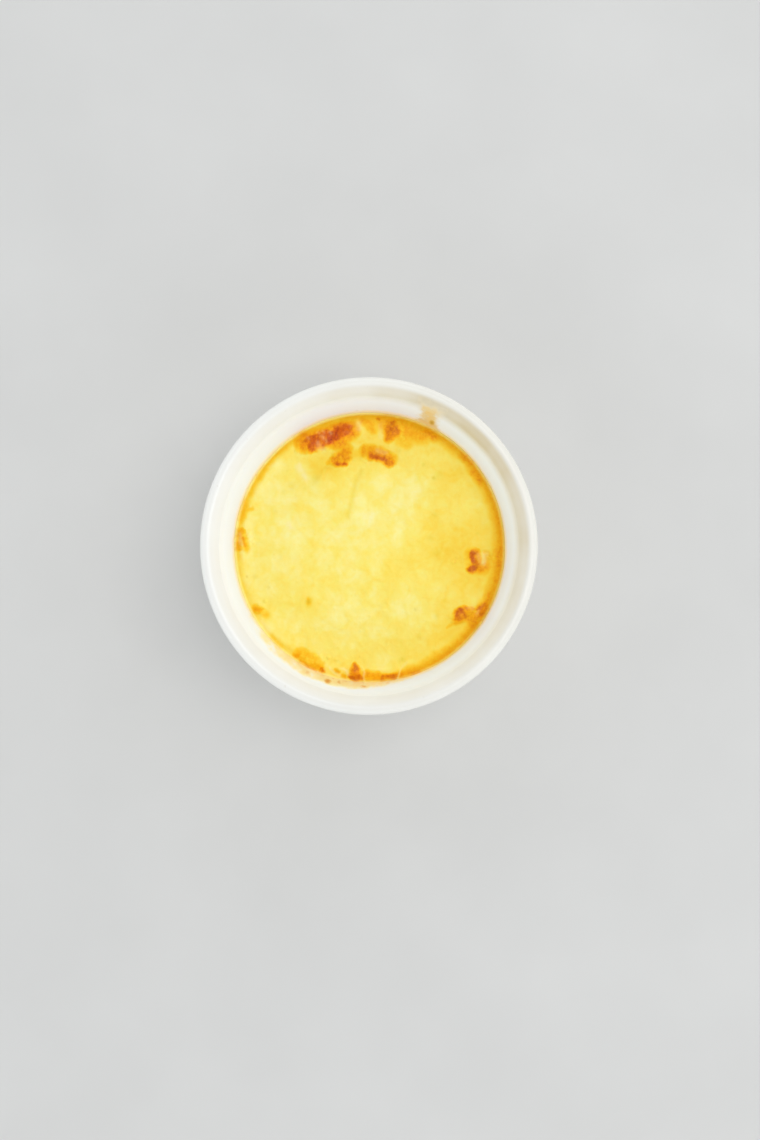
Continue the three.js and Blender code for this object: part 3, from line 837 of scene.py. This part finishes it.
# Strings of custard that climb from the skin onto the wall: paths of angle and up
WALL_STRINGS = [
    [(250.4, -1.0), (254.0, 3.6), (259.0, 9.0)], [(247.2, -1.0), (248.6, 3.2), (249.2, 6.8)],
    [(261.0, -1.0), (262.2, 2.6), (262.0, 5.0)], [(268.6, -1.0), (268.0, 4.6)],
    [(281.8, -1.0), (282.2, 2.6)],
]
WALL_STRING_WIDTH = 0.42


def film_specks(along, up, lace, threads):
    """The browned specks: the listed ones, those in the hollows of the lace, and small crumbs."""
    wx = along + 0.35 * perlin(along, up, 1.3, 404)
    wy = up + 0.6 * perlin(along, up, 1.6, 405)
    field = 0.34 * lace * (1 - threads) ** 2 * smooth(1 - up / 6)
    for a, u, w, h, strength in FILM_SPECKS:
        away = ((wx - a * MM_PER_DEGREE) / w) ** 2 + ((wy - u) / h) ** 2
        field = np.maximum(field, strength * np.exp(-away))
    crumbly = smooth((perlin(along, up * 0.34, 1.7, 410) - 0.10) / 0.4) * smooth(1 - up / 14)
    return np.maximum(field, 0.42 * crumbly * by_angle(along / MM_PER_DEGREE, CRUMBLY_SHARE))


def front_film(angle, up):
    """The dried cream film on the wall at the front: its thickness, and how rich and speckled it is."""
    along = angle * MM_PER_DEGREE
    ragged = 1.6 * fractal(along, np.zeros_like(angle), 6, 401, 4)
    to_top = by_angle(angle, FILM_REACH) + ragged * by_angle(angle, FILM_RAGGED) - up

    lace = smooth((angle - LACE_FROM) / LACE_FADE) * smooth((LACE_TO - angle) / LACE_FADE)
    lace = lace * smooth(1 - up / LACE_TOP)
    threads = ridged(along + 0.5 * perlin(along, up, 2.5, 409), up * 0.45, 2.2, 408) ** 1.5
    specks = film_specks(along, up, lace, threads)
    paths = ([(a * MM_PER_DEGREE, u) for a, u in path] for path in WALL_STRINGS)
    wavy = along + 0.25 * perlin(up, angle, 2.0, 406)
    strings = drawn(wavy, up, [(WALL_STRING_WIDTH, 1, *path) for path in paths])

    rich = by_angle(angle, FILM_RICHNESS)
    plain = FILM_BODY + 0.03 * fractal(along, up * 0.6, 2.4, 402)
    plain += FILM_RICHER * rich * smooth(1 - up / 6) + lace * (THREAD_HEIGHT * threads - 0.04)
    raised = (np.maximum(plain, 0.02) + WALL_STRING_HEIGHT * strings) * smooth(to_top / 5)
    thickness = raised + SPECK_HEIGHT * specks - FILM_SUNK + THINNING * np.minimum(to_top, 0)

    body = rich * (0.90 + 0.10 * smooth(1 - up / 9)) + 0.34 * fractal(along, up * 0.3, 2.6, 407)
    body = body * smooth(to_top / 9) + 0.12 * lace * threads
    return thickness, {"body": np.maximum(body, 0), "speck": specks * (1 - 0.6 * strings)}


# The smear at the upper right: up the wall, angle of its middle and half width. Its browned spot is an
# angle, up, half width and half height.
SMEAR_LINE = [
    (-1.4, 65.0, 7.6), (1.5, 65.0, 6.6), (4.5, 65.0, 5.6), (9.0, 65.0, 5.2), (15.0, 65.2, 5.6),
    (20.0, 65.6, 5.6),
]
SMEAR_REACH = 21.4
SMEAR_SPOT = (63.3, 5.8, 1.1, 3.2)
SMEAR_BODY, SMEAR_SUNK = 0.08, 0.014
SMEAR_ANGLES, SMEAR_UPS = (53, 78.5, 146), (-1.4, 23.4, 122)


def wall_smear(angle, up):
    """A beige smear that runs up the wall, over the flare and onto the lip, given as the film is."""
    ups, centres, widths = zip(*SMEAR_LINE)
    wobble = 0.6 * fractal(angle * MM_PER_DEGREE, up * 0.4, 3.6, 411, 2)
    across = np.abs(angle - np.interp(up, ups, centres)) * MM_PER_DEGREE
    top = SMEAR_REACH + 1.0 * perlin(angle, up, 2.5, 412) - up
    inside = np.minimum(np.interp(up, ups, widths) - across + wobble, 0.8 * top)
    a, u, w, h = SMEAR_SPOT
    spot = np.exp(-(((angle - a) * MM_PER_DEGREE / w) ** 2) - ((up - u) / h) ** 2)

    raised = (SMEAR_BODY + 0.03 * fractal(angle, up, 1.4, 413)) * smooth(inside / 2.6)
    thickness = raised + SPECK_HEIGHT * spot - SMEAR_SUNK + THINNING * np.minimum(inside, 0)
    rich = smooth(inside / 5.0) * (0.85 + 0.35 * fractal(angle, up * 0.5, 2.0, 414))
    return thickness, {"body": rich * (0.90 + 0.15 * smooth(1 - up / 12)), "speck": spot}


# Materials

def linear(*screen):
    """A colour given as the 0 to 255 that a screen shows, as the linear light that a shader takes."""
    parts = [c / 255 for c in screen]
    return (*(c / 12.92 if c <= 0.04045 else ((c + 0.055) / 1.055) ** 2.4 for c in parts), 1.0)


def shades(*stops):
    """Stops of a colour ramp, from places and screen colours."""
    return [(place, linear(*screen)) for place, *screen in stops]


class Shader:
    """The nodes of a material or of the world, with short calls that add to them."""

    def __init__(self, owner):
        owner.use_nodes = True
        self.owner = owner
        self.nodes, self.links = owner.node_tree.nodes, owner.node_tree.links
        self.place = self.node("TexCoord").outputs

    def put(self, socket, value):
        """Gives an input a value, or links it to another node's output."""
        if isinstance(value, bpy.types.NodeSocket):
            self.links.new(value, socket)
        else:
            socket.default_value = value

    def set(self, **values):
        """Puts values into the surface's inputs, by their names with _ for a space."""
        for name, value in values.items():
            self.put(self.nodes["Principled BSDF"].inputs[name.replace("_", " ")], value)

    def node(self, kind, inputs=(), **settings):
        """A new node with its settings, and with values in its inputs."""
        node = self.nodes.new("ShaderNode" + kind)
        for name, value in settings.items():
            setattr(node, name, value)
        for key, value in dict(inputs).items():
            self.put(node.inputs[key], value)
        return node

    def field(self, name):
        """The number that set_fields stored at the points."""
        return self.node("Attribute", attribute_name=name).outputs["Fac"]

    def noise(self, size, detail, rough):
        """Noise of lumps about size millimetres across, from 0 to 1."""
        lumps = {"Scale": 1 / (size * MM), "Detail": detail, "Roughness": rough}
        return self.node("TexNoise", {"Vector": self.place["Object"], **lumps}).outputs["Fac"]

    def grain(self, size, detail, rough):
        """The same noise, from -0.5 to 0.5."""
        return self.times_plus(self.noise(size, detail, rough), 1.0, -0.5)

    def times_plus(self, a, b, c=0.0):
        """a times b, plus c."""
        return self.node("Math", enumerate((a, b, c)), operation="MULTIPLY_ADD").outputs[0]

    def between(self, value, low, high, out_low=0.0, out_high=1.0):
        """A soft step from out_low to out_high as the value goes from low to high."""
        numbers = enumerate((value, low, high, out_low, out_high))
        return self.node("MapRange", numbers, interpolation_type="SMOOTHSTEP").outputs[0]

    def mix(self, share, a, b):
        return self.node("Mix", {0: share, 6: a, 7: b}, data_type="RGBA").outputs[2]

    def ramp(self, value, stops):
        node = self.node("ValToRGB", {"Fac": value})
        elements = node.color_ramp.elements
        while len(elements) < len(stops):
            elements.new(1.0)
        for element, (place, colour) in zip(elements, stops):
            element.position = place
            element.color = colour
        return node.outputs["Color"]

    def bump(self, height, strength, distance, under=None):
        inputs = {"Height": height, "Strength": strength, "Distance": distance * MM}
        if under is not None:
            inputs["Normal"] = under
        return self.node("Bump", inputs).outputs["Normal"]


# Colours of the skin by its tone, and of its browning by strength, usual and redder
YELLOWS = shades(
    (0.0, 255, 244, 184), (0.28, 255, 238, 148), (0.50, 255, 230, 112), (0.75, 255, 218, 82),
    (1.0, 253, 202, 50),
)
BROWNS = shades(
    (0.0, 255, 234, 116), (0.20, 255, 214, 66), (0.36, 254, 194, 32), (0.50, 250, 174, 16),
    (0.64, 236, 146, 10), (0.78, 216, 118, 8), (0.90, 200, 90, 5), (1.0, 170, 64, 5),
)
RED_BROWNS = shades(
    (0.45, 253, 178, 18), (0.64, 242, 143, 14), (0.78, 225, 110, 10), (0.90, 203, 82, 8),
    (1.0, 168, 56, 8),
)


def custard_material():
    """Moist baked custard: pale to golden yellow, orange to brown where it blistered."""
    s = Shader(bpy.data.materials.new("baked_custard"))
    speckle, fine = s.grain(1.1, 4.0, 0.65), s.grain(0.45, 3.0, 0.6)
    tone = s.times_plus(speckle, 0.22, s.times_plus(fine, 0.12, s.field("tone")))
    rough_brown = s.times_plus(fine, 0.24, s.times_plus(speckle, 0.26))
    brown = s.field("brown")
    strength = s.times_plus(rough_brown, s.between(brown, 0.1, 0.5), brown)
    red_share = s.times_plus(s.field("ruddy"), s.between(strength, 0.40, 0.62))
    baked = s.mix(red_share, s.ramp(strength, BROWNS), s.ramp(strength, RED_BROWNS))
    colour = s.mix(s.between(strength, 0.02, 0.26), s.ramp(tone, YELLOWS), baked)
    dried = s.mix(s.between(brown, 0.12, 0.45), linear(226, 196, 30), linear(206, 154, 16))
    colour = s.mix(s.times_plus(s.field("dot"), 0.6), colour, dried)
    # Pale cream, and peach on the browned bubbles: partly painted highlights.
    pale = s.mix(s.between(brown, 0.12, 0.5), linear(255, 238, 178), linear(250, 196, 116))
    colour = s.mix(s.times_plus(s.field("pale"), 0.85), colour, pale)
    colour = s.mix(s.times_plus(s.field("string"), 0.5), colour, linear(255, 232, 138))
    bumps = s.bump(s.noise(0.5, 4.0, 0.6), 0.25, 0.10)
    s.set(Base_Color=colour, Roughness=s.between(strength, 0.2, 0.8, 0.44, 0.30), Normal=bumps,
          Subsurface_Weight=0.30, Subsurface_Radius=(1.0, 0.62, 0.22), Subsurface_Scale=1.4 * MM,
          IOR=1.40, Specular_IOR_Level=s.between(strength, 0.45, 0.85, 0.18, 0.26))
    return s.owner


# Greyer whites of the glaze towards the right: painted shade.
PAINTED_SHADE_WHITES = shades((0.3, 234, 231, 222), (0.7, 230, 227, 218))
# Colour of the tide mark: partly dried custard, partly painted light.
TIDE_AND_LIGHT_COLOUR = linear(255, 230, 152)


def glaze_colour(s):
    """The colour of the glaze with its marks and painted light: painted shade towards the right, painted
    cool light inside, painted shade and reflection inside the lip, and a tide mark that is partly painted
    light. It also shows where custard has dried thin on it.
    """
    across = s.node("SeparateXYZ", {0: s.place["Object"]}).outputs["X"]
    # The glaze is painted darker towards the right, and its inside a little less cool on the left: painted
    # shade and light.
    painted_shade_to_right = s.between(across, -57 * MM, 50 * MM)
    glaze = s.mix(painted_shade_to_right, linear(239, 237, 230), s.ramp(s.noise(14.0, 3.0, 0.5), PAINTED_SHADE_WHITES))
    # Painted cool light on the inner wall, a little lighter on the left.
    glaze = s.mix(s.field("cool"), glaze, s.mix(painted_shade_to_right, linear(240, 244, 252), linear(237, 245, 255)))
    # The warm band inside the lip: painted shade and reflection.
    glaze = s.mix(s.field("stain"), glaze, linear(208, 193, 158))
    return s.mix(s.times_plus(s.field("tide"), 0.72), glaze, TIDE_AND_LIGHT_COLOUR)


def porcelain_material():
    """White porcelain under a clear glaze, with painted shade and reflection inside the lip and painted
    light inside, and bare on the foot ring.
    """
    s = Shader(bpy.data.materials.new("glazed_porcelain"))
    colour = s.mix(s.field("bare"), glaze_colour(s), linear(226, 219, 204))
    specks = s.between(s.noise(1.6, 1.0, 0.4), 0.76, 0.80)
    colour = s.mix(s.times_plus(specks, 0.25), colour, linear(214, 205, 188))
    rough = s.times_plus(s.noise(6.0, 3.0, 0.6), 0.10, 0.10)
    rough = s.times_plus(s.field("bare"), 0.5, s.times_plus(s.field("cool"), 0.35, rough))
    waves = s.bump(s.noise(11.0, 2.0, 0.4), 0.18, 0.25)
    shine = s.times_plus(s.field("cool"), -0.44, 0.5)
    s.set(Base_Color=colour, Roughness=rough, IOR=1.5, Specular_IOR_Level=shine,
          Normal=s.bump(s.noise(0.8, 2.0, 0.5), 0.05, 0.05, waves))
    return s.owner


# Colours of the dried custard, thin to thick, and of its specks, faint to strong
FILM_CREAMS = shades((0.25, 248, 241, 214), (0.6, 246, 233, 184), (1.0, 244, 222, 156))
FILM_FLECKS = shades((0.2, 246, 222, 160), (0.6, 232, 182, 100), (1.0, 212, 144, 64))
SMEAR_CREAMS = shades((0.25, 232, 218, 188), (0.6, 230, 206, 156), (1.0, 234, 203, 136))
SMEAR_FLECKS = shades((0.2, 236, 206, 138), (0.6, 222, 184, 96), (1.0, 200, 156, 62))


def film_material(name, creams, flecks):
    """Custard dried on the glaze, which shows through where it is thinnest, with browned specks."""
    s = Shader(bpy.data.materials.new(name))
    patchy = s.times_plus(s.grain(1.5, 4.0, 0.65), 0.4, s.field("body"))
    dried = s.ramp(patchy, creams)
    # The tide mark shows through the film too: partly dried custard, partly painted light.
    dried = s.mix(s.times_plus(s.field("tide"), 0.5), dried, TIDE_AND_LIGHT_COLOUR)
    colour = s.mix(s.between(patchy, 0.0, 0.6), glaze_colour(s), dried)
    fleck = s.times_plus(s.grain(0.6, 3.0, 0.6), 0.30, s.field("speck"))
    colour = s.mix(s.between(fleck, 0.04, 0.70), colour, s.ramp(fleck, flecks))
    s.set(Base_Color=colour, Roughness=0.5, IOR=1.5, Specular_IOR_Level=0.06,
          Normal=s.bump(s.noise(0.6, 3.0, 0.6), 0.3, 0.06))
    return s.owner


def floor_material():
    s = Shader(bpy.data.materials.new("plain_floor"))
    colour = s.ramp(s.noise(60.0, 3.0, 0.5), shades((0.3, 208, 206, 202), (0.7, 212, 210, 206)))
    s.set(Base_Color=colour, Roughness=0.7, Specular_IOR_Level=0.2)
    return s.owner


# The scene round the part

FLOOR_RADIUS = 8.0
KEY_PLACE, KEY_AIM, KEY_SIZE, KEY_POWER = (0.46, 0.10, 1.27), (0, 0, 0.03), 0.9, 5.7

# The surround's light from the horizon, at 0, up to overhead, at 1
SURROUND_STRENGTH = 1.22
SURROUND_STEPS = (
    (0.0, (0.82, 0.87, 0.93, 1)), (0.15, (1.12, 1.19, 1.29, 1)), (0.50, (1.08, 1.15, 1.24, 1)),
    (0.80, (0.37, 0.37, 0.36, 1)), (1.0, (0.29, 0.29, 0.28, 1)),
)


def pixel_ray(pixel):
    """A photograph pixel's direction in the camera's own axes, one unit deep."""
    return Vector(((pixel[0] - PHOTO_WIDTH / 2) / FOCAL_PX, (PHOTO_HEIGHT / 2 - pixel[1]) / FOCAL_PX, -1.0))


def make_camera():
    """Looks down as the photograph does: the lip and the point below the lens fall on their pixels."""
    camera = add_object("camera", bpy.data.cameras.new("camera"))
    camera.data.lens, camera.data.sensor_width = LENS, SENSOR
    camera.data.clip_start, camera.data.clip_end = 0.01, 20.0
    turn = pixel_ray(NADIR_PX).rotation_difference(Vector((0, 0, -1)))
    depth = FOCAL_PX * LIP_RADIUS * MM / LIP_RADIUS_PX
    lip_middle = Vector((0, 0, LIP_CENTRE[1] * MM))
    camera.rotation_mode = "QUATERNION"
    camera.rotation_quaternion = turn
    camera.location = lip_middle - (turn @ pixel_ray(LIP_CENTRE_PX)) * depth
    bpy.context.scene.camera = camera


def add_key_light():
    """A soft square light from the right that faces the part."""
    light = add_object("key_light", bpy.data.lights.new("key_light", "AREA"))
    light.data.size, light.data.energy = KEY_SIZE, KEY_POWER
    light.location = KEY_PLACE
    light.rotation_euler = (Vector(KEY_AIM) - Vector(KEY_PLACE)).to_track_quat("-Z", "Y").to_euler()


def make_surround():
    """Even white light as in a light tent, strongest from low on all sides."""
    s = Shader(bpy.data.worlds.new("surround"))
    upward = s.node("SeparateXYZ", {0: s.place["Generated"]}).outputs["Z"]
    light = s.nodes["Background"].inputs
    s.put(light["Color"], s.ramp(upward, SURROUND_STEPS))
    s.put(light["Strength"], SURROUND_STRENGTH)
    bpy.context.scene.world = s.owner


def make_stage():
    """Plain pale floor, soft light from the right, and an even white surround."""
    bpy.ops.mesh.primitive_circle_add(vertices=128, radius=FLOOR_RADIUS, fill_type="NGON")
    floor = bpy.context.object
    floor.name = "floor"
    floor.data.materials.append(floor_material())
    add_key_light()
    make_surround()
    bpy.context.scene.view_settings.view_transform = "Standard"


def dress(piece, material):
    """Gives a piece its material and its body."""
    piece.data.materials.append(material)
    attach(piece, "root")


make_camera()
make_stage()

ramekin = make_ramekin()
dress(ramekin, porcelain_material())
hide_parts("ramekin")

custard = make_custard()
dress(custard, custard_material())
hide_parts("custard")

film = make_wall_film("custard_film", FILM_ANGLES, FILM_UPS, front_film)
dress(film, film_material("dried_film", FILM_CREAMS, FILM_FLECKS))

smear = make_wall_film("custard_smear", SMEAR_ANGLES, SMEAR_UPS, wall_smear)
dress(smear, film_material("dried_smear", SMEAR_CREAMS, SMEAR_FLECKS))
